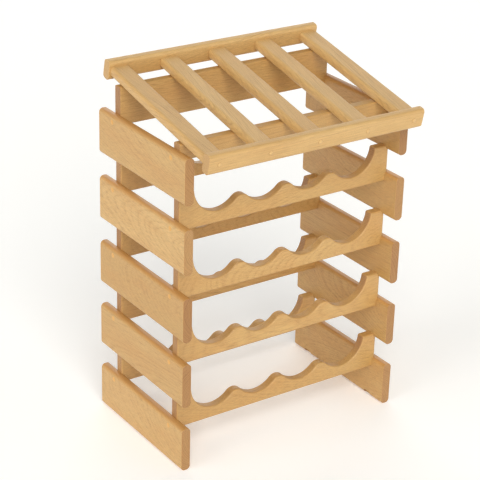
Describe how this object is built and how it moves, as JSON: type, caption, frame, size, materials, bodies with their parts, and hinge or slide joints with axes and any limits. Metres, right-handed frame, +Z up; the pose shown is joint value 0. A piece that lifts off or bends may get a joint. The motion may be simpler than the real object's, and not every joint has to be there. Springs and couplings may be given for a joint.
{
  "type": "wine rack",
  "caption": "Free-standing hardwood wine rack: stacked side boards joined by scalloped rails that cradle lying bottles, with a slanted slatted display top.",
  "frame": {"origin": "on the floor, at the middle of the whole rack's width and depth", "axes": "+X to the right seen from the front, +Y from the front to the back, +Z up; the low edge of the display top faces -Y"},
  "size_m": [0.4964, 0.3608, 0.7211],
  "materials": {
    "side_boards": "clear satin",
    "cross_rails": "clear satin",
    "display_top": "clear satin",
    "dowels": "clear satin"
  },
  "bodies": {
    "root": {"side_board_left_1": "side_boards", "side_board_left_2": "side_boards", "side_board_left_3": "side_boards", "side_board_left_4": "side_boards", "side_board_left_5": "side_boards", "side_board_right_1": "side_boards", "side_board_right_2": "side_boards", "side_board_right_3": "side_boards", "side_board_right_4": "side_boards", "side_board_right_5": "side_boards", "scalloped_rail_front_1": "cross_rails", "scalloped_rail_front_2": "cross_rails", "scalloped_rail_front_3": "cross_rails", "scalloped_rail_front_4": "cross_rails", "scalloped_rail_rear_1": "cross_rails", "scalloped_rail_rear_2": "cross_rails", "scalloped_rail_rear_3": "cross_rails", "scalloped_rail_rear_4": "cross_rails", "top_stretcher_front": "cross_rails", "display_support_rear": "cross_rails", "display_rail_front": "display_top", "display_rail_rear": "display_top", "display_slat_1": "display_top", "display_slat_2": "display_top", "display_slat_3": "display_top", "display_slat_4": "display_top", "display_slat_5": "display_top", "side_dowels": "dowels", "display_dowels_front": "dowels", "display_dowels_rear": "dowels", "display_locating_pins": "dowels"}
  },
  "joints": []
}
